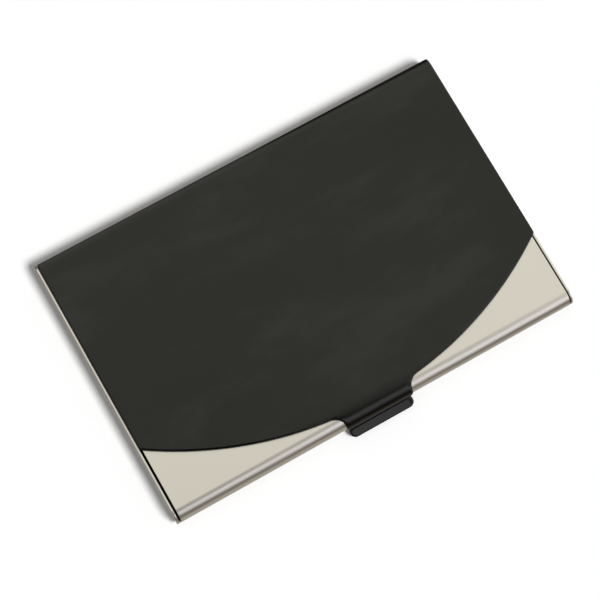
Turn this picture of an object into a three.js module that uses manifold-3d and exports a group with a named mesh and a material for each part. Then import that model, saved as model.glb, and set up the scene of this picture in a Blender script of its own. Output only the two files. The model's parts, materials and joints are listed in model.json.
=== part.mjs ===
// Slim business card case: a bright steel tray with a rolled front edge, closed by a black
// lacquered lid that hinges at the back and has a latch tab and a thumb lip at the front.
// Millimetres, +Z up, the front faces -Y. The origin is the centre of the flat underside.

import * as THREE from 'three';
import { mergeVertices } from 'three/addons/utils/BufferGeometryUtils.js';
import Module from 'manifold-3d';

const wasm = await Module();
wasm.setup();

// Tray
const caseWidth = 94; // over the end plates
const caseLength = 60.8; // rolled front to rolled back
const caseHeight = 5.2; // underside to the top of the front flap
const traySheet = 0.4;
const flapOverlap = 3.5; // the flap's hidden edge, behind the lid's front corners
const thumbRadius = 12; // cut-out in the flap, to push the cards out
const curlOverlap = 14; // degrees that the rear curl runs on under the lid's

// End plates
const endPlateSheet = 0.45;
const endGap = 0.38; // between the tray's ends and the end plates
const footWidth = 1.95; // flange welded to the tray's floor
const footSheet = 0.4;
const footFrontMargin = 6.4; // front edge to the flange
const footSpringMargin = 2.9; // flange to the snap spring

// Lid
const lidSheet = 0.5;
const lidGap = 0.3; // lid to tray, all round
const lidSideInset = 0.25; // inside the outer faces of the end plates
const lidArcRadius = 83;
const lidArcMargin = 2.1; // front edge to the arc at mid-width
const lidCornerRadius = 0.7; // where the arc meets the sides
const openAngle = 95; // degrees from shut
const restClearance = 0.1; // between the open lid's rear curl and the surface under the case

// Latch tab and thumb lip
const tabWidth = 15.6;
const tabFillet = 2.6; // hollow corner between the arc and the tab
const lipWidth = 14.5;
const lipReach = 1.7; // beyond the outer face of the tab
const lipDrop = 0.35; // middle of the rolled edge to the lip's upper face
const lipCornerRadius = 1.5;

// Hinge
const stripDepth = 12;
const stripSheet = 0.4;
const stripClearance = 0.3; // between the strip's rear edge and the tray's rear curl
const earSheet = 0.4;
const earClearance = 0.4; // between the round ear and the inside of the rear curl
const earNeckDepth = 5;
const heelRadius = 0.9;
const heelReach = 2.2; // hinge axis to the middle of the heel
const sideClearance = 0.3; // between pieces that slide past each other
const pinRadius = 0.8;
const boreClearance = 0.1;
const pinHeadRadius = 1.3;
const pinHeadHeight = 0.3;

// Snap spring
const springSheet = 0.3;
const springWidth = 3.2;
const heelClearance = 0.3; // between the spring's ends and the heels
const springFlatLength = 60;
const springClearance = 0.5; // between the spring and the hinge ears
const rivetRadius = 0.6;
const rivetHeadRadius = 1.2;
const rivetHeadHeight = 0.35;
const rivetSpacing = 40;

// Facets
const bendFacets = 16; // in a half circle
const pinFacets = 24; // round a pin, rivet or bore
const arcFacets = 10; // half of those in each arc of the lid's outline

// Levels and planes that the pieces share
const edgeRadius = caseHeight / 2;
const trayInner = edgeRadius - traySheet;
const frontY = -caseLength / 2;
const frontAxisY = frontY + edgeRadius;
const hingeY = caseLength / 2 - edgeRadius;
const axisZ = edgeRadius;
const endInner = caseWidth / 2 - endPlateSheet;
const trayHalf = endInner - endGap;

const lidHalf = caseWidth / 2 - lidSideInset;
const lidInner = edgeRadius + lidGap;
const lidOuter = lidInner + lidSheet;
const lidUnder = axisZ + lidInner;
const lidCurlEnd = openAngle - THREE.MathUtils.radToDeg(Math.asin((axisZ - restClearance) / lidOuter));
const rearCurlEnd = lidCurlEnd + curlOverlap;
const arcY = frontY + lidArcMargin + lidArcRadius;
const arcCornerY = arcY - Math.sqrt(lidArcRadius ** 2 - lidHalf ** 2);
const flapRear = arcCornerY + flapOverlap;
const tabFaceY = frontAxisY - lidOuter;
const lipTop = axisZ - lipDrop;

const earOuter = endInner - sideClearance;
const earInner = earOuter - earSheet;
const earRadius = trayInner - earClearance;
const boreRadius = pinRadius + boreClearance;
const stripUnder = lidUnder - stripSheet;
const stripRear = hingeY - Math.sqrt((edgeRadius + stripClearance) ** 2 - (stripUnder - axisZ) ** 2);

const springRear = hingeY - earRadius - springClearance;
const springFront = springRear - springWidth;
const springMiddle = (springFront + springRear) / 2;
const springTip = axisZ - heelRadius - heelClearance;

const radians = THREE.MathUtils.degToRad;

// Solids

function solid(geometry) {
  const bare = geometry.clone();
  bare.deleteAttribute('normal');
  bare.deleteAttribute('uv');
  const merged = mergeVertices(bare, 1e-5);
  return new wasm.Manifold(new wasm.Mesh({
    numProp: 3,
    vertProperties: Float32Array.from(merged.attributes.position.array),
    triVerts: Uint32Array.from(merged.index.array),
  }));
}

function join(first, ...others) {
  return others.reduce((sum, other) => sum.add(other), first);
}

function cut(first, ...others) {
  return others.reduce((rest, other) => rest.subtract(other), first);
}

function piece(name, body, finish) {
  const { vertProperties, triVerts } = body.getMesh();
  const geometry = new THREE.BufferGeometry();
  geometry.setAttribute('position', new THREE.BufferAttribute(vertProperties, 3));
  geometry.setIndex(new THREE.BufferAttribute(triVerts, 1));
  geometry.computeVertexNormals();
  const mesh = new THREE.Mesh(geometry, new THREE.MeshStandardMaterial(finish));
  mesh.name = name;
  return mesh;
}

// A side profile (across the case and up) drawn out along X
function alongX(profile, fromX, toX) {
  const geometry = new THREE.ExtrudeGeometry(profile, { depth: toX - fromX, bevelEnabled: false });
  const sideways = new THREE.Matrix4().set(0, 0, 1, fromX, 1, 0, 0, 0, 0, 1, 0, 0, 0, 0, 0, 1);
  return solid(geometry.applyMatrix4(sideways));
}

// A plan outline drawn out along Z
function alongZ(outline, fromZ, toZ) {
  const geometry = new THREE.ExtrudeGeometry(outline, { depth: toZ - fromZ, bevelEnabled: false });
  return solid(geometry.translate(0, 0, fromZ));
}

function block(fromX, toX, fromY, toY, fromZ, toZ) {
  const box = new THREE.BoxGeometry(toX - fromX, toY - fromY, toZ - fromZ);
  return solid(box.translate((fromX + toX) / 2, (fromY + toY) / 2, (fromZ + toZ) / 2));
}

function rodX(radius, fromX, toX, y = hingeY, z = axisZ) {
  const rod = new THREE.CylinderGeometry(radius, radius, toX - fromX, pinFacets);
  return solid(rod.rotateZ(-Math.PI / 2).translate((fromX + toX) / 2, y, z));
}

function rodZ(radius, fromZ, toZ, x, y) {
  const rod = new THREE.CylinderGeometry(radius, radius, toZ - fromZ, pinFacets);
  return solid(rod.rotateX(Math.PI / 2).translate(x, y, (fromZ + toZ) / 2));
}

// A front profile (along the case and up) drawn out along Y
function alongY(profile, fromY, toY) {
  const geometry = new THREE.ExtrudeGeometry(profile, { depth: toY - fromY, bevelEnabled: false });
  return solid(geometry.rotateX(Math.PI / 2).translate(0, toY, 0));
}

// Points on an arc round a centre, from one angle to another, both in degrees
function arcPoints(centreY, centreZ, radius, fromAngle, toAngle) {
  const steps = Math.ceil((Math.abs(toAngle - fromAngle) / 180) * bendFacets);
  return Array.from({ length: steps + 1 }, (_, step) => {
    const angle = radians(fromAngle + ((toAngle - fromAngle) * step) / steps);
    return new THREE.Vector2(centreY + radius * Math.cos(angle), centreZ + radius * Math.sin(angle));
  });
}

function mirrored(body) {
  return body.mirror([1, 0, 0]);
}

function pair(name, rightBody, finish) {
  return [
    piece(`left_${name}`, mirrored(rightBody), finish),
    piece(`right_${name}`, rightBody, finish),
  ];
}

// Finishes
const brightSteel = { color: 0xc8c4b4, roughness: 0.32, metalness: 1 };
const blackLacquer = { color: 0x0c0c0b, roughness: 0.25, metalness: 0 };
const springSteel = { color: 0x9a9a98, roughness: 0.3, metalness: 1 };

// Tray: one sheet rolled over at the front into a flap, and curled up at the back
function trayShell() {
  const profile = new THREE.Shape([
    new THREE.Vector2(flapRear, caseHeight),
    ...arcPoints(frontAxisY, axisZ, edgeRadius, 90, 270),
    ...arcPoints(hingeY, axisZ, edgeRadius, -90, rearCurlEnd),
    ...arcPoints(hingeY, axisZ, trayInner, rearCurlEnd, -90),
    ...arcPoints(frontAxisY, axisZ, trayInner, 270, 90),
    new THREE.Vector2(flapRear, caseHeight - traySheet),
  ]);
  const thumbCut = rodZ(thumbRadius, axisZ, caseHeight + traySheet, 0, flapRear);
  const earNotch = block(earInner - sideClearance, caseWidth / 2, hingeY - edgeRadius,
    hingeY + 2 * edgeRadius, axisZ, caseHeight + traySheet);
  const sheet = alongX(profile, -trayHalf, trayHalf);
  return cut(sheet, thumbCut, earNotch, mirrored(earNotch), ...rivetHoles());
}

// End plate: a wall with the tray's own outline, and a foot flange on the tray's floor
function endPlate() {
  const outline = new THREE.Shape([
    ...arcPoints(frontAxisY, axisZ, edgeRadius, 90, 270),
    ...arcPoints(hingeY, axisZ, edgeRadius, -90, 90),
  ]);
  const wall = alongX(outline, endInner, caseWidth / 2);
  const foot = block(endInner - footWidth, endInner + endPlateSheet / 2, frontY + footFrontMargin,
    springFront - footSpringMargin, traySheet, traySheet + footSheet);
  const bore = rodX(boreRadius, endInner - endPlateSheet, caseWidth / 2 + endPlateSheet);
  return cut(join(wall, foot), bore);
}

// Lid seen from above: straight sides, an arc across the front, and the tab with its lip
function lidOutline() {
  const tabHalf = tabWidth / 2;
  const lipHalf = lipWidth / 2;
  const lipFront = tabFaceY - lipReach;
  const filletX = tabHalf + tabFillet;
  const filletY = arcY - Math.sqrt((lidArcRadius + tabFillet) ** 2 - filletX ** 2);
  const filletMeets = Math.atan2(filletY - arcY, filletX);
  const cornerX = lidHalf - lidCornerRadius;
  const cornerY = arcY - Math.sqrt((lidArcRadius - lidCornerRadius) ** 2 - cornerX ** 2);
  const cornerMeets = Math.atan2(cornerY - arcY, cornerX);
  const half = new THREE.Path();
  half.moveTo(0, lipFront);
  half.absarc(lipHalf - lipCornerRadius, lipFront + lipCornerRadius, lipCornerRadius, -Math.PI / 2, 0);
  half.lineTo(lipHalf, tabFaceY);
  half.lineTo(tabHalf, tabFaceY);
  half.absarc(filletX, filletY, tabFillet, Math.PI, filletMeets + Math.PI, true);
  half.absarc(0, arcY, lidArcRadius, filletMeets, cornerMeets);
  half.absarc(cornerX, cornerY, lidCornerRadius, cornerMeets, 0);
  half.lineTo(lidHalf, hingeY + lidOuter);
  const right = half.getPoints(arcFacets);
  const left = right.slice(1).reverse().map(({ x, y }) => new THREE.Vector2(-x, y));
  return new THREE.Shape([...right, ...left]);
}

// Lid: one sheet, curled down at the back, rolled down at the front and turned out as the lip
function lidCover() {
  const innerFaceY = frontAxisY - lidInner;
  const beyondLip = tabFaceY - lipReach - lidSheet;
  const profile = new THREE.Shape([
    ...arcPoints(hingeY, axisZ, lidOuter, lidCurlEnd, 90),
    ...arcPoints(frontAxisY, axisZ, lidOuter, 90, 180),
    new THREE.Vector2(tabFaceY, lipTop),
    new THREE.Vector2(beyondLip, lipTop),
    new THREE.Vector2(beyondLip, lipTop - lidSheet),
    new THREE.Vector2(innerFaceY, lipTop - lidSheet),
    ...arcPoints(frontAxisY, axisZ, lidInner, 180, 90),
    ...arcPoints(hingeY, axisZ, lidInner, 90, lidCurlEnd),
  ]);
  const sheet = alongX(profile, -caseWidth / 2, caseWidth / 2);
  return sheet.intersect(alongZ(lidOutline(), 0, caseHeight + lidOuter));
}

// Hinge strip: a plate under the lid with an ear bent down at each end. Each ear has an eye
// for the hinge pin, and a heel that presses on the snap spring.
function hingeStrip() {
  const plate = block(-earOuter, earOuter, stripRear - stripDepth, stripRear, stripUnder, lidUnder);
  const heelY = hingeY - heelReach;
  const neck = new THREE.Shape([
    new THREE.Vector2(stripRear, stripUnder + stripSheet / 2),
    new THREE.Vector2(stripRear - earNeckDepth, stripUnder + stripSheet / 2),
    new THREE.Vector2(heelY, axisZ),
    new THREE.Vector2(hingeY, axisZ),
  ]);
  const ear = join(
    alongX(neck, earInner, earOuter),
    rodX(earRadius, earInner, earOuter),
    rodX(heelRadius, earInner, earOuter, heelY),
  );
  const bore = rodX(boreRadius, earInner - earSheet, earOuter + earSheet);
  const drilled = cut(ear, bore);
  return join(plate, drilled, mirrored(drilled));
}

// Hinge pin: headed inside the ear, and peened flush with the outside of the end plate
function hingePin() {
  const headEnd = earInner - sideClearance;
  return join(
    rodX(pinRadius, headEnd - pinHeadHeight / 2, caseWidth / 2),
    rodX(pinHeadRadius, headEnd - pinHeadHeight, headEnd),
  );
}

// Snap spring: a leaf riveted to the floor, whose raised ends lie under the ears' heels
function snapSpring() {
  const flatHalf = springFlatLength / 2;
  const low = traySheet;
  const high = springTip - springSheet;
  const profile = new THREE.Shape([
    new THREE.Vector2(-flatHalf, low),
    new THREE.Vector2(flatHalf, low),
    new THREE.Vector2(earOuter, high),
    new THREE.Vector2(earOuter, springTip),
    new THREE.Vector2(flatHalf, low + springSheet),
    new THREE.Vector2(-flatHalf, low + springSheet),
    new THREE.Vector2(-earOuter, springTip),
    new THREE.Vector2(-earOuter, high),
  ]);
  const leaf = alongY(profile, springFront, springRear);
  return cut(leaf, ...rivetHoles());
}

function rivetHoles() {
  const hole = rodZ(
    rivetRadius + boreClearance, -traySheet, caseHeight / 2, rivetSpacing / 2, springMiddle);
  return [hole, mirrored(hole)];
}

function springRivet() {
  const seat = traySheet + springSheet;
  const x = rivetSpacing / 2;
  return join(
    rodZ(rivetRadius, 0, seat + rivetHeadHeight / 2, x, springMiddle),
    rodZ(rivetHeadRadius, seat, seat + rivetHeadHeight, x, springMiddle),
  );
}

const tray = new THREE.Group();
tray.add(
  piece('base_shell', trayShell(), brightSteel),
  ...pair('end_plate', endPlate(), brightSteel),
  ...pair('hinge_pin', hingePin(), springSteel),
  piece('snap_spring', snapSpring(), springSteel),
  ...pair('spring_rivet', springRivet(), springSteel),
);

const lid = new THREE.Group();
lid.add(
  piece('lid_cover', lidCover(), blackLacquer),
  piece('hinge_strip', hingeStrip(), brightSteel),
);

const cardCase = new THREE.Group();
cardCase.add(tray, lid);

export default cardCase;
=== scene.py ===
# Slim business card case: a satin steel tray, and a black lacquered lid that hinges at the back.
# Pieces are drawn in millimetres, where the frame has them, and brought to metres when they are done.

import json
import math

import bmesh
import bpy
from mathutils import Matrix, Vector


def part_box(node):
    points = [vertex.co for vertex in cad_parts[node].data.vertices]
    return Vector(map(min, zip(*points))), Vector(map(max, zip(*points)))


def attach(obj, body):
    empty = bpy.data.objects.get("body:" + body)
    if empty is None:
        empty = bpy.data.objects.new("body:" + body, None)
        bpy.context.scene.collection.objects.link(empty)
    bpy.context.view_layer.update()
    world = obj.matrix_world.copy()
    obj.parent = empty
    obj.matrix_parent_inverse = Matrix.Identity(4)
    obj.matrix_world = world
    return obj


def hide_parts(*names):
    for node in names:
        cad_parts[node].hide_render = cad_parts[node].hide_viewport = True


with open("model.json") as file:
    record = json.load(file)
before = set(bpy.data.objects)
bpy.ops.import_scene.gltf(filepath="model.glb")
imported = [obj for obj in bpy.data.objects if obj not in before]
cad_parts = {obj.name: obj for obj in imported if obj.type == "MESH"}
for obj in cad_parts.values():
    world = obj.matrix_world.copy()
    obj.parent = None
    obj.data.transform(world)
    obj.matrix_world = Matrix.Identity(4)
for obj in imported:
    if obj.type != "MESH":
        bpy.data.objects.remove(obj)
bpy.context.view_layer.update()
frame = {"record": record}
mm = 0.001
hair = 0.0001  # closer than this is the same place


def boxOf(node):
    low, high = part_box(node)
    return low / mm, high / mm


wallLow, wallHigh = boxOf("right_end_plate")
shellHigh = boxOf("base_shell")[1]
lidLow, lidHigh = boxOf("lid_cover")
stripLow, stripHigh = boxOf("hinge_strip")
springLow, springHigh = boxOf("snap_spring")
pinLow, pinHigh = boxOf("right_hinge_pin")
rivetLow, rivetHigh = boxOf("right_spring_rivet")

hinge = frame["record"]["behaviour"]["joints"][0]
hingeY = hinge["pos_m"][1] / mm
hingeZ = hinge["pos_m"][2] / mm
rollRadius = (wallHigh.z - wallLow.z) / 2
frontAxisY = wallLow.y + rollRadius
rivetX = (rivetLow.x + rivetHigh.x) / 2
rivetY = (rivetLow.y + rivetHigh.y) / 2

# The slits between the tray's ends and the end plates: painted shade, dark inside them as far back as
# the flap goes, and closed by a weld low down at the front corners, where no shade is painted
slitShape = {
    "rightInset": 0.22,  # the right end plate and its pin stand this much nearer to the tray
    "length": 17,
    "lengthFade": 0.8,
    "weldRise": 0.75,
    "weldRiseFade": 0.05,
    "weldReach": 1.8,
    "weldReachFade": 0.2,
}
slitRear = frontAxisY + slitShape["length"]
weldTop = hingeZ + slitShape["weldRise"]
weldRear = frontAxisY - slitShape["weldReach"]


# Shader maths: a wrapped socket, so that 1 - mask adds the Math node by itself
class Wire:
    def __init__(self, nodes, socket):
        self.nodes = nodes
        self.socket = socket

    def maths(self, operation, *values):
        return self.nodes.add("ShaderNodeMath", {"operation": operation}, dict(enumerate(values)))

    def __add__(self, other):
        return self.maths("ADD", self, other)

    def __sub__(self, other):
        return self.maths("SUBTRACT", self, other)

    def __rsub__(self, other):
        return self.maths("SUBTRACT", other, self)

    def __mul__(self, other):
        return self.maths("MULTIPLY", self, other)

    def __truediv__(self, other):
        return self.maths("DIVIDE", self, other)

    def __neg__(self):
        return self.maths("MULTIPLY", self, -1)

    def __abs__(self):
        return self.maths("ABSOLUTE", self)

    __radd__ = __add__
    __rmul__ = __mul__


class Nodes:
    def __init__(self, owner):
        owner.use_nodes = True
        self.tree = owner.node_tree
        self.tree.nodes.clear()

    def add(self, kind, settings=None, sockets=None, output=0):
        made = self.tree.nodes.new(kind)
        for name, value in (settings or {}).items():
            if name == "stops":
                self.setStops(made.color_ramp.elements, value)
            elif name == "blend":
                made.color_ramp.interpolation = value
            else:
                setattr(made, name, value)
        for name, value in (sockets or {}).items():
            if isinstance(value, Wire):
                self.tree.links.new(value.socket, made.inputs[name])
            else:
                made.inputs[name].default_value = value
        return Wire(self, made.outputs[output]) if made.outputs else None

    def setStops(self, elements, stops):
        while len(elements) < len(stops):
            elements.new(1)
        for element, (place, colour) in zip(elements, stops):
            element.position = place
        for element, (place, colour) in zip(elements, stops):
            element.color = (*colour, 1)

    def mixColour(self, share, first, second):
        return self.add("ShaderNodeMix", {"data_type": "RGBA"}, {0: share, 6: first, 7: second}, 2)

    def place(self, scale=(1, 1, 1), turn=(0, 0, 0)):
        here = self.add("ShaderNodeTexCoord", output="Object")
        return self.add("ShaderNodeMapping", {}, {"Vector": here, "Scale": scale, "Rotation": turn})

    def axes(self, vector):
        return [self.add("ShaderNodeSeparateXYZ", {}, {0: vector}, axis) for axis in range(3)]

    def noise(self, place, scale, detail=3, roughness=0.5):
        sockets = {"Vector": place, "Scale": scale, "Detail": detail, "Roughness": roughness}
        return self.add("ShaderNodeTexNoise", {}, sockets)

    def ramp(self, share, low, high):
        return self.add("ShaderNodeMapRange", {"interpolation_type": "SMOOTHSTEP"},
                        {"Value": share, "From Min": low, "From Max": high})


# Steel that was rolled, then brushed along the case until it was satin
satinSteelLook = {
    "pale": (0.800, 0.762, 0.722, 1),
    "dull": (0.765, 0.727, 0.686, 1),
    "roughness": 0.31,
    "roughnessChange": 0.05,
    "grainScale": (60, 2600, 2600),
    "grainDepth": 0.0000006,
    "cloudScale": 55,
    "handledScale": 130,
    "handledRange": (0.45, 0.75),
    "handledRoughness": 0.02,
    # painted shade for the faces inside the slits, with its roughness
    "slitShade": (0.006, 0.005, 0.004, 1),
    "slitShadeRoughness": 0.3,
}


# Painted shade on the faces that look into a slit: 1 there; it starts at one distance from a middle
# plane, and is full at another
def slitShadeMask(nodes, faces):
    x, y, z = nodes.axes(nodes.add("ShaderNodeTexCoord", output="Object"))
    across = nodes.ramp(abs(x - faces["middle"] * mm), faces["from"] * mm, faces["to"] * mm)
    along = nodes.ramp(y, slitRear * mm, (slitRear - slitShape["lengthFade"]) * mm)
    low = nodes.ramp(z, (weldTop + slitShape["weldRiseFade"]) * mm, weldTop * mm)
    front = nodes.ramp(y, weldRear * mm, (weldRear - slitShape["weldReachFade"]) * mm)
    return across * along * (1 - front * low)


def satinSteel(name, look, shadedSlitFaces=None):
    steel = bpy.data.materials.new(name)
    nodes = Nodes(steel)
    grain = nodes.noise(nodes.place(look["grainScale"]), 1, detail=4, roughness=0.6)
    cloud = nodes.noise(nodes.place(), look["cloudScale"], detail=2)
    prints = nodes.noise(nodes.place(), look["handledScale"], detail=4, roughness=0.6)
    handled = nodes.ramp(prints, *look["handledRange"])
    colour = nodes.mixColour((grain + cloud) * 0.5, look["dull"], look["pale"])
    roughness = look["roughness"] + (cloud - 0.5) * look["roughnessChange"]
    roughness = roughness + handled * look["handledRoughness"]
    metal = 1.0
    # Shade painted into the slits: dark colour, rougher, and no longer metal there
    if shadedSlitFaces:
        slitShade = slitShadeMask(nodes, shadedSlitFaces)
        colour = nodes.mixColour(slitShade, colour, look["slitShade"])
        roughness = roughness + slitShade * look["slitShadeRoughness"]
        metal = 1 - slitShade
    bump = nodes.add("ShaderNodeBump", {}, {"Height": grain, "Distance": look["grainDepth"]})
    surface = nodes.add("ShaderNodeBsdfPrincipled", {}, {
        "Base Color": colour, "Metallic": metal, "Roughness": roughness, "Normal": bump})
    nodes.add("ShaderNodeOutputMaterial", {}, {"Surface": surface})
    return steel


# Lacquer sprayed on metal, a little uneven, with a haze of handling on it
lacquerLook = {
    "deep": (0.0004, 0.0004, 0.0003, 1),
    "haze": (0.0085, 0.0086, 0.0081, 1),
    "ior": 1.43,
    "roughness": 0.13,
    "roughnessChange": 0.05,
    "cloudScale": 45,
    "smearScale": 38,
    "smearStretch": (1, 2.4, 1),
    "smearTurn": (0, 0, 0.9),
    "smearRange": (0.48, 0.72),
    "smearShare": 0.7,
    "smearRoughness": 0.03,
    "waveScale": 60,
    "waveDepth": 0.000012,
    "peelScale": 1400,
    "peelDepth": 0.0000004,
}


def blackLacquer(name, look):
    lacquer = bpy.data.materials.new(name)
    nodes = Nodes(lacquer)
    cloud = nodes.noise(nodes.place(), look["cloudScale"], detail=3, roughness=0.55)
    along = nodes.place(look["smearStretch"], look["smearTurn"])
    streaks = nodes.noise(along, look["smearScale"], detail=4, roughness=0.6)
    smear = nodes.ramp(streaks, *look["smearRange"])
    wave = nodes.noise(nodes.place(), look["waveScale"], detail=1)
    peel = nodes.noise(nodes.place(), look["peelScale"], detail=1)
    share = smear * look["smearShare"] + cloud * (1 - look["smearShare"])
    colour = nodes.mixColour(share, look["deep"], look["haze"])
    roughness = look["roughness"] + (cloud - 0.5) * look["roughnessChange"]
    roughness = roughness + smear * look["smearRoughness"]
    height = wave * look["waveDepth"] + peel * look["peelDepth"]
    bump = nodes.add("ShaderNodeBump", {}, {"Height": height, "Distance": 1.0})
    surface = nodes.add("ShaderNodeBsdfPrincipled", {}, {
        "Base Color": colour, "Roughness": roughness, "IOR": look["ior"], "Normal": bump})
    nodes.add("ShaderNodeOutputMaterial", {}, {"Surface": surface})
    return lacquer


pinSteelLook = {**satinSteelLook, "roughness": 0.32, "grainDepth": 0.0000003}
springSteelLook = {
    **satinSteelLook,
    "pale": (0.50, 0.49, 0.46, 1),
    "dull": (0.42, 0.40, 0.37, 1),
    "roughness": 0.3,
}
steelFinish = satinSteel("satinSteel", satinSteelLook)
pinFinish = satinSteel("pinSteel", pinSteelLook)
springFinish = satinSteel("springSteel", springSteelLook)
lacquerFinish = blackLacquer("blackLacquer", lacquerLook)
print("finishes mixed")


def vertsOf(parts):
    return [part for part in parts if isinstance(part, bmesh.types.BMVert)]


# The right half of a sheet's outline, drawn anticlockwise from the middle of its front edge
class Outline:
    def __init__(self, x, y):
        self.bm = bmesh.new()
        self.tip = self.bm.verts.new((x, y, 0))

    def line(self, x, y):
        self.tip = bmesh.ops.extrude_vert_indiv(self.bm, verts=[self.tip])["verts"][0]
        self.tip.co = (x, y, 0)
        return self

    def arc(self, x, y, degrees, steps):
        spun = bmesh.ops.spin(self.bm, geom=[self.tip], cent=(x, y, 0), axis=(0, 0, 1),
                              angle=math.radians(degrees), steps=steps)
        self.tip = vertsOf(spun["geom_last"])[0]
        return self

    # A quarter turn out of the line that ends here, round to a line at right angles to it
    def corner(self, radius, towards, steps=8):
        x, y = self.tip.co.x, self.tip.co.y
        return self.arc(x + radius * towards[0], y + radius * towards[1], 90, steps)


# Mirrors and fills an outline, gives it its thickness and rounds its rim, all while it is flat.
# The face is the side that keeps its length when the sheet is bent.
def cutSheet(outline, face, thickness, faceRounding, backRounding, segments):
    bm = outline.bm
    bmesh.ops.mirror(bm, geom=bm.verts[:] + bm.edges[:], axis="X", merge_dist=hair)
    blank = bmesh.ops.contextual_create(bm, geom=bm.edges[:])["faces"]
    raised = bmesh.ops.extrude_face_region(bm, geom=blank)["geom"]
    bmesh.ops.translate(bm, verts=vertsOf(raised), vec=(0, 0, thickness))
    bmesh.ops.translate(bm, verts=bm.verts, vec=(0, 0, face))
    bmesh.ops.recalc_face_normals(bm, faces=bm.faces[:])
    for level, rounding in ((face, faceRounding), (face + thickness, backRounding)):
        rim = [edge for edge in bm.edges if all(abs(v.co.z - level) < hair for v in edge.verts)]
        bmesh.ops.bevel(bm, geom=rim, offset=rounding, offset_type="OFFSET", segments=segments,
                        profile=0.5, affect="EDGES", material=-1)
    return bm


# Slices a piece along a plane, and returns the line of the cut
def slicePiece(bm, place, normal, **options):
    whole = bm.verts[:] + bm.edges[:] + bm.faces[:]
    cut = bmesh.ops.bisect_plane(bm, geom=whole, dist=hair, plane_co=place, plane_no=normal, **options)
    return [part for part in cut["geom_cut"] if isinstance(part, bmesh.types.BMEdge)]


# Bends a flat sheet over: each bend has its start, its radius to the face, its degrees (down is
# positive) and its steps. The farthest bends are made first, while all before them is still flat.
def bendSheet(bm, face, bends, across=1):
    plane = Vector((0, 0, 0))
    plane[across] = 1
    for start, radius, degrees, steps in bends:
        reach = math.copysign(radius * math.radians(abs(degrees)), start)
        for step in range(steps + 1):
            slicePiece(bm, plane * (start + reach * step / steps), plane)
    flatPlace = {vert: vert.co[across] for vert in bm.verts}
    for start, radius, degrees, steps in sorted(bends, key=lambda bend: -abs(bend[0])):
        outwards = math.copysign(1, start)
        downwards = math.copysign(1, degrees)
        axis = plane * start + Vector((0, 0, face - downwards * radius))
        sense = outwards * downwards * (-1 if across == 1 else 1)
        for vert in bm.verts:
            run = (flatPlace[vert] - start) * outwards
            if run > hair:
                turn = min(run / radius, math.radians(abs(degrees)))
                slid = vert.co - plane * (outwards * turn * radius)
                spin = Matrix.Rotation(sense * turn, 3, "X" if across == 1 else "Y")
                vert.co = axis + spin @ (slid - axis)


# A round solid from half of its section: pairs of radius and height, from axis to axis
def latheRound(section, steps=48):
    bm = bmesh.new()
    tip = bm.verts.new((section[0][0], 0, section[0][1]))
    for radius, height in section[1:]:
        tip = bmesh.ops.extrude_vert_indiv(bm, verts=[tip])["verts"][0]
        tip.co = (radius, 0, height)
    bmesh.ops.spin(bm, geom=bm.verts[:] + bm.edges[:], cent=(0, 0, 0), axis=(0, 0, 1),
                   angle=math.tau, steps=steps, use_merge=True)
    bmesh.ops.remove_doubles(bm, verts=bm.verts[:], dist=hair)
    bmesh.ops.recalc_face_normals(bm, faces=bm.faces[:])
    return bm


def newObject(name, bm):
    mesh = bpy.data.meshes.new(name)
    bm.to_mesh(mesh)
    bm.free()
    made = bpy.data.objects.new(name, mesh)
    bpy.context.collection.objects.link(made)
    return made


# Cuts one shape out of a piece, or welds it on, and keeps the result
def shapeWith(piece, tool, operation):
    toolObject = newObject("tool", tool)
    step = piece.modifiers.new("shape", "BOOLEAN")
    step.operation = operation
    step.solver = "EXACT"
    step.object = toolObject
    shaped = piece.evaluated_get(bpy.context.evaluated_depsgraph_get())
    plain = piece.data
    piece.data = bpy.data.meshes.new_from_object(shaped)
    piece.modifiers.remove(step)
    bpy.data.meshes.remove(plain)
    bpy.data.objects.remove(toolObject)


def makeRod(radius, depth, place, alongX=False, facets=48):
    rod = bmesh.new()
    bmesh.ops.create_cone(rod, cap_ends=True, segments=facets, radius1=radius, radius2=radius,
                          depth=depth)
    if alongX:
        bmesh.ops.rotate(rod, verts=rod.verts, matrix=Matrix.Rotation(math.pi / 2, 3, "Y"))
    bmesh.ops.translate(rod, verts=rod.verts, vec=place)
    return rod


def drill(piece, radius, place, depth, alongX=False):
    shapeWith(piece, makeRod(radius, depth, place, alongX), "DIFFERENCE")


# Brings a piece to metres and hands it to the frame in its CAD node's place
def finishPiece(piece, body, node, finish):
    mesh = piece.data
    mesh.name = piece.name
    mesh.transform(Matrix.Scale(mm, 4))
    mesh.materials.clear()
    mesh.materials.append(finish)
    mesh.shade_smooth()
    evener = piece.modifiers.new("evenShading", "WEIGHTED_NORMAL")
    evener.mode = "FACE_AREA"
    evener.weight = 50
    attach(piece, body)
    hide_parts(node)
    print(piece.name, "done,", len(mesh.polygons), "faces")


# Turns a right-hand piece into a left-hand one
def mirrorPiece(bm):
    bmesh.ops.scale(bm, vec=(-1, 1, 1), verts=bm.verts)
    bmesh.ops.recalc_face_normals(bm, faces=bm.faces[:])


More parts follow.
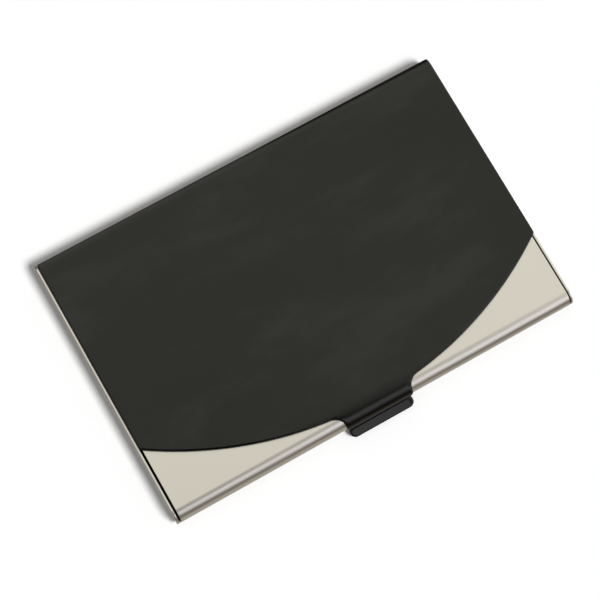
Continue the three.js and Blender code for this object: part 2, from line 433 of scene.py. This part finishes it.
# Lid: flat on top, curled down behind the hinge, and rolled down at the front into a latch tab
# that is turned out again as a thumb lip
lidShape = {
    "sheet": 0.5,
    "faceRounding": 0.42,
    "backRounding": 0.05,
    "play": 0.1,  # taken off each side, and the lid sits this much to the right
    "arcRadius": 83,
    "arcMargin": 2.1,
    "sideCorner": 0.7,
    "backCorner": 0.46,
    "tabWidth": 15.7,
    "tabFillet": 2.8,
    "tabCorner": 1.6,
    "tabStraight": 3.4,
    "lipWidth": 14.9,
    "lipCorner": 1.25,
    "lipShoulder": 0.46,
    "neckCorner": 0.08,
    "neckRise": 0.1,
    "lipBend": 0.15,
    "lipSlope": 25,  # degrees down from level
    "lipReach": 1.86,
    "rollRadius": 3.24,
    "crown": 10.5,  # degrees of a gentle bend that leads into the roll
    "crownStart": 1.7,
    "crownLength": 2.28,
    "evenCuts": (6.4, 7.1, 8.6, 10.2, 12.5, 16, 22),  # keep the faces of the bends narrow
    "rimSegments": 5,
    "cornerSteps": {"lip": 10, "shoulder": 6, "neck": 4, "tab": 8, "fillet": 16, "side": 8, "back": 6},
    "arcSteps": 48,
    "bendSteps": {"curl": 16, "crown": 12, "roll": 32, "lip": 6},
}

lidRadius = lidHigh.z - hingeZ
lidCurl = math.degrees(math.asin((lidHigh.y - hingeY) / lidRadius))
lidArcY = wallLow.y + lidShape["arcMargin"] + lidShape["arcRadius"]


def makeLid(size):
    lidHalf = lidHigh.x - size["play"]
    crownStart = frontAxisY + size["crownStart"]
    crownRadius = size["crownLength"] / math.radians(size["crown"])
    rollStart = crownStart - size["crownLength"]
    rollTurn = 90 - size["crown"]
    tabHalf = size["tabWidth"] / 2
    lipHalf = size["lipWidth"] / 2
    backEdge = hingeY + lidRadius * math.radians(lidCurl)
    lipTurn = 90 - size["lipSlope"]
    lipTop = lidLow.z + size["sheet"]
    rollEnd = rollStart - size["rollRadius"] * math.radians(rollTurn)
    lipRoot = rollEnd - (hingeZ - lipTop - size["lipBend"])
    lipEdge = lipRoot - size["lipBend"] * math.radians(lipTurn) - size["lipReach"]

    arcRadius = size["arcRadius"]
    fillet = size["tabFillet"]
    filletX = tabHalf + fillet
    filletY = lidArcY - math.sqrt((arcRadius + fillet) ** 2 - filletX ** 2)
    filletMeets = math.degrees(math.atan2(lidArcY - filletY, filletX))
    cornerX = lidHalf - size["sideCorner"]
    cornerY = lidArcY - math.sqrt((arcRadius - size["sideCorner"]) ** 2 - cornerX ** 2)
    cornerMeets = math.degrees(math.atan2(lidArcY - cornerY, cornerX))
    tabX = tabHalf - size["tabCorner"]
    tabY = frontAxisY - size["tabStraight"]
    shoulder = size["lipShoulder"]
    neckCorner = size["neckCorner"]
    neckX = lipHalf - shoulder - neckCorner
    neckY = lipRoot + size["neckRise"]
    shoulderY = neckY - neckCorner - shoulder
    tabTurn = math.degrees(math.acos((neckX - tabX) / size["tabCorner"]))
    tabMeetsY = tabY - size["tabCorner"] * math.sin(math.radians(tabTurn))

    steps = size["cornerSteps"]
    outline = Outline(0, lipEdge)
    outline.line(lipHalf - size["lipCorner"], lipEdge)
    outline.corner(size["lipCorner"], (0, 1), steps["lip"])
    outline.line(lipHalf, shoulderY).corner(shoulder, (-1, 0), steps["shoulder"])
    outline.arc(lipHalf - shoulder, neckY, -90, steps["neck"])
    outline.line(neckX, tabMeetsY).arc(tabX, tabY, tabTurn, steps["tab"])
    outline.line(tabHalf, filletY).arc(filletX, filletY, -filletMeets, steps["fillet"])
    outline.arc(0, lidArcY, filletMeets - cornerMeets, size["arcSteps"])
    outline.arc(cornerX, cornerY, cornerMeets, steps["side"])
    outline.line(lidHalf, backEdge - size["backCorner"])
    outline.corner(size["backCorner"], (-1, 0), steps["back"])
    outline.line(0, backEdge)
    bm = cutSheet(outline, lidHigh.z, -size["sheet"], size["faceRounding"], size["backRounding"],
                  size["rimSegments"])
    for x in size["evenCuts"]:
        for side in (-1, 1):
            slicePiece(bm, (side * x, 0, 0), (1, 0, 0))
    steps = size["bendSteps"]
    bendSheet(bm, lidHigh.z, [
        (hingeY, lidRadius, lidCurl, steps["curl"]),
        (crownStart, crownRadius, size["crown"], steps["crown"]),
        (rollStart, size["rollRadius"], rollTurn, steps["roll"]),
        (lipRoot, size["lipBend"], -lipTurn, steps["lip"]),
    ])
    bmesh.ops.translate(bm, verts=bm.verts, vec=(size["play"], 0, 0))
    finishPiece(newObject("lacqueredLid", bm), "lid", "lid_cover", lacquerFinish)


# Tray: one sheet, rolled right over at the front into a flap, and curled up at the back
trayShape = {
    "sheet": 0.4,
    "play": 0.1,  # taken off each end
    "rounding": 0.06,
    "flapOverlap": 3.5,
    "flapCorner": 1.2,
    "thumbRadius": 12,
    "thumbCorner": 1.5,
    "curlOverlap": 14,
    "earNotch": 0.62,
    "rivetHole": 0.7,
    "slitShadeEdge": (0.05, 0.01),  # the painted shade on the end faces starts and is full so far inside them
    "rimSegments": 2,
    "thumbSteps": 24,
    "curlSteps": 40,
    "rollSteps": 48,
}

trayHalf = shellHigh.x - trayShape["play"]
# The tray's steel, with shade painted on its end faces where they look into the slits
trayFinish = satinSteel("traySteel", satinSteelLook, {
    "middle": 0,
    "from": trayHalf - trayShape["slitShadeEdge"][0],
    "to": trayHalf - trayShape["slitShadeEdge"][1],
})


def makeTray(size):
    cornerY = lidArcY - math.sqrt(lidShape["arcRadius"] ** 2 - lidHigh.x ** 2)
    flapDepth = cornerY + size["flapOverlap"] - frontAxisY
    flapEdge = frontAxisY - rollRadius * math.pi - flapDepth
    curl = 180 - lidCurl + size["curlOverlap"]
    backEdge = hingeY + rollRadius * math.radians(curl)
    notchFloor = hingeY + rollRadius * math.pi / 2

    thumb = size["thumbRadius"]
    thumbCorner = size["thumbCorner"]
    thumbX = math.sqrt((thumb + thumbCorner) ** 2 - thumbCorner ** 2)
    thumbMeets = math.degrees(math.atan2(thumbCorner, thumbX))

    outline = Outline(0, flapEdge + thumb)
    outline.arc(0, flapEdge, thumbMeets - 90, size["thumbSteps"])
    outline.arc(thumbX, flapEdge + thumbCorner, 90 - thumbMeets, steps=8)
    outline.line(trayHalf - size["flapCorner"], flapEdge).corner(size["flapCorner"], (0, 1))
    outline.line(trayHalf, notchFloor)
    outline.line(trayHalf - size["earNotch"], notchFloor)
    outline.line(trayHalf - size["earNotch"], backEdge)
    outline.line(0, backEdge)
    bm = cutSheet(outline, wallLow.z, size["sheet"], size["rounding"], size["rounding"],
                  size["rimSegments"])
    bendSheet(bm, wallLow.z, [
        (hingeY, rollRadius, -curl, size["curlSteps"]),
        (frontAxisY, rollRadius, -180, size["rollSteps"]),
    ])
    tray = newObject("rolledTray", bm)
    for x in (-rivetX, rivetX):
        drill(tray, size["rivetHole"], (x, rivetY, 0), depth=1.5)
    finishPiece(tray, "tray", "base_shell", trayFinish)


# End plates: thin walls with the tray's own outline, each with a foot on the floor and lumps of
# weld in the mouth of the front roll; shade is painted on the inner face and the lumps along the slit,
# but not on the weld
plateShape = {
    "sheet": 0.45,
    "rounding": 0.09,
    "footSheet": 0.4,
    "footRounding": 0.08,
    "footMargin": 2.9,  # from the foot to the spring
    "bore": 0.9,
    # round plugs in the mouth of the roll, which take the slit's painted shade so the mouth reads dark
    "bosses": ((2.44, 0.1), (2.12, 0.6)),
    "weldRadius": 2.56,
    "weldGap": 0.01,  # left between the weld and the tray
    "slitShadeFace": (0.04, 0.09),  # the painted shade on the inner face starts and is full so far inside it
    "endSteps": 40,
    "bossFacets": 64,
    "weldFacets": 96,
}

plateInner = wallHigh.x - plateShape["sheet"]
plateMiddle = wallHigh.x - plateShape["sheet"] / 2
# The plates' steel, with shade painted on the inner face and the lumps where they look into the slits
plateFinish = satinSteel("plateSteel", satinSteelLook, {
    "middle": -slitShape["rightInset"] / 2,
    "from": plateInner - plateShape["slitShadeFace"][0],
    "to": plateInner - plateShape["slitShadeFace"][1],
})


def makeWall(size):
    wall = bmesh.new()
    tip = wall.verts.new((0, frontAxisY, wallHigh.z))
    spun = bmesh.ops.spin(wall, geom=[tip], cent=(0, frontAxisY, hingeZ), axis=(1, 0, 0),
                          angle=math.pi, steps=size["endSteps"])
    tip = vertsOf(spun["geom_last"])[0]
    tip = bmesh.ops.extrude_vert_indiv(wall, verts=[tip])["verts"][0]
    tip.co.y = hingeY
    bmesh.ops.spin(wall, geom=[tip], cent=(0, hingeY, hingeZ), axis=(1, 0, 0),
                   angle=math.pi, steps=size["endSteps"])
    blank = bmesh.ops.contextual_create(wall, geom=wall.edges[:])["faces"]
    raised = bmesh.ops.extrude_face_region(wall, geom=blank)["geom"]
    bmesh.ops.translate(wall, verts=vertsOf(raised), vec=(-size["sheet"], 0, 0))
    bmesh.ops.translate(wall, verts=wall.verts, vec=(wallHigh.x, 0, 0))
    bmesh.ops.recalc_face_normals(wall, faces=wall.faces[:])
    rim = [edge for edge in wall.edges if abs(edge.verts[0].co.x - edge.verts[1].co.x) < hair]
    bmesh.ops.bevel(wall, geom=rim, offset=size["rounding"], offset_type="OFFSET", segments=3,
                    profile=0.5, affect="EDGES", material=-1)
    return wall


def makeFoot(size):
    front = frontAxisY
    rear = springLow.y - size["footMargin"]
    floorTop = trayShape["sheet"]
    foot = bmesh.new()
    bmesh.ops.create_cube(foot, size=1)
    bmesh.ops.scale(foot, vec=(plateMiddle - wallLow.x, rear - front, size["footSheet"]),
                    verts=foot.verts)
    bmesh.ops.translate(foot, verts=foot.verts, vec=(
        (plateMiddle + wallLow.x) / 2, (rear + front) / 2, floorTop + size["footSheet"] / 2))
    bmesh.ops.bevel(foot, geom=foot.edges[:], offset=size["footRounding"], offset_type="OFFSET",
                    segments=2, profile=0.5, affect="EDGES", material=-1)
    return foot


# A round lump from the middle of the wall inwards, round the axis of the front roll
def makeBoss(size, radius, height, facets):
    depth = height + size["sheet"] / 2
    return makeRod(radius, depth, (plateMiddle - depth / 2, frontAxisY, hingeZ), True, facets)


# The weld goes across the slit nearly to the tray, and is cut off level at its top
def makeWeld(size, slitWidth):
    weld = makeBoss(size, size["weldRadius"], slitWidth - size["weldGap"], size["weldFacets"])
    cut = slicePiece(weld, (0, 0, weldTop), (0, 0, 1), clear_outer=True)
    bmesh.ops.contextual_create(weld, geom=cut)
    return weld


def makeEndPlate(name, node, side, size):
    slitWidth = plateInner - trayHalf
    if side > 0:
        slitWidth -= slitShape["rightInset"]
    wall = makeWall(size)
    parts = [makeFoot(size)]
    for radius, height in size["bosses"]:
        parts.append(makeBoss(size, radius, height, size["bossFacets"]))
    parts.append(makeWeld(size, slitWidth))
    if side < 0:
        for part in (wall, *parts):
            mirrorPiece(part)
    plate = newObject(name, wall)
    for part in parts:
        shapeWith(plate, part, "UNION")
    drill(plate, size["bore"], (side * wallHigh.x, hingeY, hingeZ), depth=4, alongX=True)
    if side > 0:
        plate.data.transform(Matrix.Translation((-slitShape["rightInset"], 0, 0)))
    finishPiece(plate, "tray", node, plateFinish)


def onCircle(x, y, radius, degrees):
    turn = math.radians(degrees)
    return x + radius * math.cos(turn), y + radius * math.sin(turn)


# Hinge strip: fixed under the lid, with an ear bent down at each end for the hinge pin
stripShape = {
    "sheet": 0.4,
    "rounding": 0.06,
    "depth": 12,
    "corner": 1,
    "earBend": 0.6,
    "earFront": 5,
    "relief": 0.5,
    "eyeRadius": 1.8,
    "heelRadius": 0.9,
    "heelReach": 2.2,
    "eyeLeaves": 160,  # degrees round the eye to where the neck begins
    "rootEase": 0.2,
    "slotEase": 0.1,
    "bore": 0.9,
    "rimSegments": 2,
    "heelSteps": 12,
    "eyeSteps": 32,
    "bendSteps": 10,
}


def makeHingeStrip(size):
    half = stripHigh.x
    front = stripLow.y
    rear = front + size["depth"]
    bendStart = half - size["earBend"]
    bendEnd = bendStart + size["earBend"] * math.pi / 2
    eyeX = bendEnd + stripHigh.z - size["earBend"] - hingeZ
    eye = size["eyeRadius"]
    heel = size["heelRadius"]
    heelY = hingeY - size["heelReach"]
    earFront = rear - size["earFront"]

    # The line from the ear's front root touches the heel, which runs into the eye
    rootX = bendEnd + size["rootEase"]
    reach = math.hypot(eyeX - rootX, heelY - earFront)
    slant = math.atan2(heelY - earFront, eyeX - rootX) - math.asin(heel / reach)
    touch = math.degrees(slant) - 90
    overlap = (size["heelReach"] ** 2 + heel ** 2 - eye ** 2) / (2 * size["heelReach"])
    meetX = math.sqrt(heel ** 2 - overlap ** 2)
    heelMeets = math.degrees(math.atan2(overlap, meetX))
    eyeMeets = math.degrees(math.atan2(overlap - size["heelReach"], meetX))
    leaves = size["eyeLeaves"]
    leafX, leafY = onCircle(eyeX, hingeY, eye, leaves)
    neckX = leafX - (leafY - rear) / math.tan(math.radians(leaves - 90))
    slotX = bendStart - size["slotEase"]
    slotFront = earFront - size["relief"]

    outline = Outline(0, front)
    outline.line(half - size["corner"], front).corner(size["corner"], (0, 1))
    outline.line(half, slotFront).line(slotX, slotFront)
    outline.line(slotX, earFront).line(rootX, earFront)
    outline.line(*onCircle(eyeX, heelY, heel, touch))
    outline.arc(eyeX, heelY, heelMeets - touch, size["heelSteps"])
    outline.arc(eyeX, hingeY, leaves - eyeMeets, size["eyeSteps"])
    outline.line(neckX, rear).line(0, rear)
    bm = cutSheet(outline, stripHigh.z, -size["sheet"], size["rounding"], size["rounding"],
                  size["rimSegments"])
    bendSheet(bm, stripHigh.z, [
        (bendStart, size["earBend"], 90, size["bendSteps"]),
        (-bendStart, size["earBend"], 90, size["bendSteps"]),
    ], across=0)
    strip = newObject("hingeStrip", bm)
    for x in (-half, half):
        drill(strip, size["bore"], (x, hingeY, hingeZ), depth=2, alongX=True)
    finishPiece(strip, "lid", "hinge_strip", steelFinish)


# Snap spring: a leaf riveted to the floor, whose raised ends press up on the heels of the ears
springShape = {
    "sheet": 0.3,
    "rounding": 0.05,
    "flatLength": 60,
    "bend": 20,
    "corner": 0.8,
    "rimSegments": 2,
    "cornerSteps": 6,
    "bendSteps": 6,
}


def makeSpring(size):
    bendStart = size["flatLength"] / 2
    rise = springHigh.z - size["sheet"] - trayShape["sheet"]
    slope = math.degrees(math.atan2(rise, springHigh.x - bendStart))
    end = bendStart + math.hypot(rise, springHigh.x - bendStart)
    corner = size["corner"]
    steps = size["cornerSteps"]
    outline = Outline(0, springLow.y)
    outline.line(end - corner, springLow.y).corner(corner, (0, 1), steps)
    outline.line(end, springHigh.y - corner).corner(corner, (-1, 0), steps)
    outline.line(0, springHigh.y)
    bm = cutSheet(outline, trayShape["sheet"], size["sheet"], size["rounding"], size["rounding"],
                  size["rimSegments"])
    bendSheet(bm, trayShape["sheet"], [
        (bendStart, size["bend"], -slope, size["bendSteps"]),
        (-bendStart, size["bend"], -slope, size["bendSteps"]),
    ], across=0)
    leaf = newObject("snapSpring", bm)
    for x in (-rivetX, rivetX):
        drill(leaf, trayShape["rivetHole"], (x, rivetY, 0), depth=4)
    finishPiece(leaf, "tray", "snap_spring", springFinish)


# Hinge pins, headed inside and peened flush outside, and the spring's two dome rivets.
# A head's rim is given in shares of its radius and height.
pinShape = {
    "shank": 0.8,
    "head": 1.3,
    "headHeight": 0.3,
    "headRim": ((0.8, 0), (0.94, 0.18), (1, 0.45), (1, 1)),
    "peenStart": 0.06,
    "peenEdge": 0.05,
    "peenDrop": 0.01,
    "peenFlat": 0.55,
}
rivetShape = {"shank": 0.6, "head": 1.2, "headHeight": 0.35, "edge": 0.05, "domeStep": 10}


def makePin(name, node, side, size):
    length = pinHigh.x - pinLow.x
    head = size["head"]
    shank = size["shank"]
    high = size["headHeight"]
    rim = [(head * across, high * up) for across, up in size["headRim"]]
    pin = latheRound([
        (0, 0),
        *rim,
        (shank, high),
        (shank, length - size["peenStart"]),
        (shank - size["peenEdge"], length - size["peenDrop"]),
        (shank * size["peenFlat"], length),
        (0, length),
    ])
    bmesh.ops.rotate(pin, verts=pin.verts, matrix=Matrix.Rotation(math.pi / 2, 3, "Y"))
    bmesh.ops.translate(pin, verts=pin.verts, vec=(pinLow.x, hingeY, hingeZ))
    if side < 0:
        mirrorPiece(pin)
    else:
        bmesh.ops.translate(pin, verts=pin.verts, vec=(-slitShape["rightInset"], 0, 0))
    finishPiece(newObject(name, pin), "tray", node, pinFinish)


def makeRivet(name, node, side, size):
    shank = size["shank"]
    edge = size["edge"]
    top = rivetHigh.z
    seat = top - size["headHeight"]
    dome = []
    for degrees in range(0, 90, size["domeStep"]):
        across, up = onCircle(0, 0, 1, degrees)
        dome.append((size["head"] * across, seat + size["headHeight"] * up))
    rivet = latheRound([(0, 0), (shank - edge, 0), (shank, edge), (shank, seat), *dome, (0, top)])
    bmesh.ops.translate(rivet, verts=rivet.verts, vec=(side * rivetX, rivetY, 0))
    finishPiece(newObject(name, rivet), "tray", node, pinFinish)


makeTray(trayShape)
makeLid(lidShape)
makeHingeStrip(stripShape)
makeSpring(springShape)
for side, word in ((-1, "left"), (1, "right")):
    makeEndPlate(word + "EndPlate", word + "_end_plate", side, plateShape)
    makePin(word + "HingePin", word + "_hinge_pin", side, pinShape)
    makeRivet(word + "SpringRivet", word + "_spring_rivet", side, rivetShape)


# Studio: a white table, a large soft light, and a white tent that only shines in the gloss
studio = {
    "floorSize": 4,
    "floorDrop": 0.00002,
    "floorColour": (0.9, 0.9, 0.9, 1),
    "floorMottle": (0.8865, 0.8865, 0.8865, 0.985),
    "floorRoughness": 0.9,
    "mottleScale": 900,
    "lightStrength": 3.1,
    "lightSize": 19.5,
    "lightTurn": (32.4, 0, 27.6),
    "fill": 0.3,
}

cameraView = {
    "place": (-67.363, -76.121, 403.617),
    "turn": (13.493, -2.791, -29.794),
    "lens": 119.91,
    "sensor": 36,
    "nearest": 0.01,
}

# What is hung in the tent besides its bands. A range is of the direction's sideways, forward or
# upward share, from where the panel starts to where it is full.
tentPanels = {
    "swing": math.radians(27),  # the bands on the right hang this much further round
    "swingStarts": (0.1, 0.3),
    "swingEnds": (0.46, 0.34),
    "swingDims": 0.1,
    "forward": (0.0, 0.3),
    "overFloor": (0.05, 0.2),
    "flagStarts": (0.03, -0.12),
    "flagEnds": (-0.6, -0.4),
    "flagDims": 0.95,
    "lamp": (0.3, 0.42),
    "lampLifts": 0.8,
    "dusk": (0.13, 0.06),
    "duskDims": 0.1,
    "left": (-0.8, 0.0),
    "leftLevel": 0.55,
    "leftLifts": 0.47,
}

# The tent round the case, from under the back edge, over the top, to under the front edge:
# degrees from overhead, brightness and tint
tentStops = [
    (-180, 0.36, (1.03, 1, 0.9)),
    (-162, 0.38, (1.03, 1, 0.9)),
    (-146, 0.12, (1.2, 1, 0.85)),
    (-89, 0.03, (1.2, 1, 0.85)),
    (-76, 1.08, (1, 1, 0.92)),
    (-60, 1.10, (1, 1, 0.92)),
    (-40, 0.99, (1, 1, 0.89)),
    (-17, 0.95, (1, 1, 0.89)),
    (-7, 0.81, (1, 1, 0.89)),
    (0, 0.66, (1, 1, 0.90)),
    (11, 0.27, (1, 1, 0.94)),
    (20, 0.24, (1, 1, 0.96)),
    (29, 0.85, (1, 1, 1)),
    (35, 1.25, (1, 1, 1.02)),
    (48, 1.25, (1, 1, 1.02)),
    (59, 0.65, (1, 1, 1)),
    (67, 0.22, (1.1, 1, 0.9)),
    (75, 0.04, (1.5, 1, 0.7)),
    (86, 0.04, (1.5, 1, 0.7)),
    (96, 0.26, (1.2, 1, 0.8)),
    (106, 0.44, (1.03, 1, 0.88)),
    (122, 0.46, (1.03, 1, 0.88)),
    (145, 0.40, (1.03, 1, 0.9)),
    (180, 0.36, (1.03, 1, 0.9)),
]


def makeFloor(look):
    bm = bmesh.new()
    bmesh.ops.create_grid(bm, x_segments=1, y_segments=1, size=look["floorSize"] / 2)
    bmesh.ops.translate(bm, verts=bm.verts, vec=(0, 0, -look["floorDrop"]))
    floor = newObject("floor", bm)
    paper = bpy.data.materials.new("whiteTable")
    nodes = Nodes(paper)
    mottle = nodes.noise(nodes.place(), look["mottleScale"], detail=2)
    tone = nodes.mixColour(mottle, look["floorColour"], look["floorMottle"])
    surface = nodes.add("ShaderNodeBsdfPrincipled", {}, {
        "Base Color": tone, "Roughness": look["floorRoughness"], "Specular IOR Level": 0.0})
    nodes.add("ShaderNodeOutputMaterial", {}, {"Surface": surface})
    floor.data.materials.append(paper)
    floor.visible_glossy = False


def makeLight(look):
    key = bpy.data.lights.new("softKey", "SUN")
    key.energy = look["lightStrength"]
    key.angle = math.radians(look["lightSize"])
    lamp = bpy.data.objects.new("softKey", key)
    lamp.rotation_euler = [math.radians(angle) for angle in look["lightTurn"]]
    lamp.visible_glossy = False
    bpy.context.collection.objects.link(lamp)


def makeTent(look, stops, panels):
    world = bpy.data.worlds.new("studioTent")
    bpy.context.scene.world = world
    nodes = Nodes(world)
    x, y, z = nodes.axes(nodes.add("ShaderNodeTexCoord", output="Generated"))
    swung = nodes.ramp(x, *panels["swingStarts"]) * nodes.ramp(x, *panels["swingEnds"])
    lean = (x.maths("ARCTAN2", -y, z) - swung * panels["swing"]) / math.tau + 0.5
    tent = nodes.add("ShaderNodeValToRGB", {"blend": "EASE", "stops": [
        (angle / 360 + 0.5, [tint * level for tint in colour]) for angle, level, colour in stops]},
        {0: lean})
    frontwards = nodes.ramp(-y, *panels["forward"]) * nodes.ramp(z, *panels["overFloor"])
    flag = frontwards * nodes.ramp(x, *panels["flagStarts"]) * nodes.ramp(x, *panels["flagEnds"])
    lamp = frontwards * nodes.ramp(x, *panels["lamp"])
    dusk = frontwards * nodes.ramp(x, *panels["dusk"])
    level = panels["leftLevel"] + panels["leftLifts"] * nodes.ramp(x, *panels["left"])
    level = level * (1 - flag * panels["flagDims"]) * (1 + lamp * panels["lampLifts"])
    level = level * (1 - swung * panels["swingDims"]) * (1 - dusk * panels["duskDims"])
    tent = nodes.add("ShaderNodeVectorMath", {"operation": "SCALE"}, {0: tent, "Scale": level})
    plain = nodes.add("ShaderNodeBackground", {}, {"Color": (1, 1, 1, 1), "Strength": look["fill"]})
    shine = nodes.add("ShaderNodeBackground", {}, {"Color": tent, "Strength": 1.0})
    glossy = nodes.add("ShaderNodeLightPath", output="Is Glossy Ray")
    both = nodes.add("ShaderNodeMixShader", {}, {0: glossy, 1: plain, 2: shine})
    white = nodes.add("ShaderNodeBackground", {}, {"Color": (1, 1, 1, 1), "Strength": 1.0})
    seen = nodes.add("ShaderNodeLightPath", output="Is Camera Ray")
    whole = nodes.add("ShaderNodeMixShader", {}, {0: seen, 1: both, 2: white})
    nodes.add("ShaderNodeOutputWorld", {}, {"Surface": whole})


def makeCamera(look):
    view = bpy.data.cameras.new("view")
    view.lens = look["lens"]
    view.sensor_width = look["sensor"]
    view.clip_start = look["nearest"]
    camera = bpy.data.objects.new("view", view)
    camera.location = Vector(look["place"]) * mm
    camera.rotation_euler = [math.radians(angle) for angle in look["turn"]]
    bpy.context.collection.objects.link(camera)
    bpy.context.scene.camera = camera


makeFloor(studio)
makeLight(studio)
makeTent(studio, tentStops, tentPanels)
makeCamera(cameraView)
bpy.context.scene.view_settings.view_transform = "Standard"
print("studio set up")

bpy.context.view_layer.update()
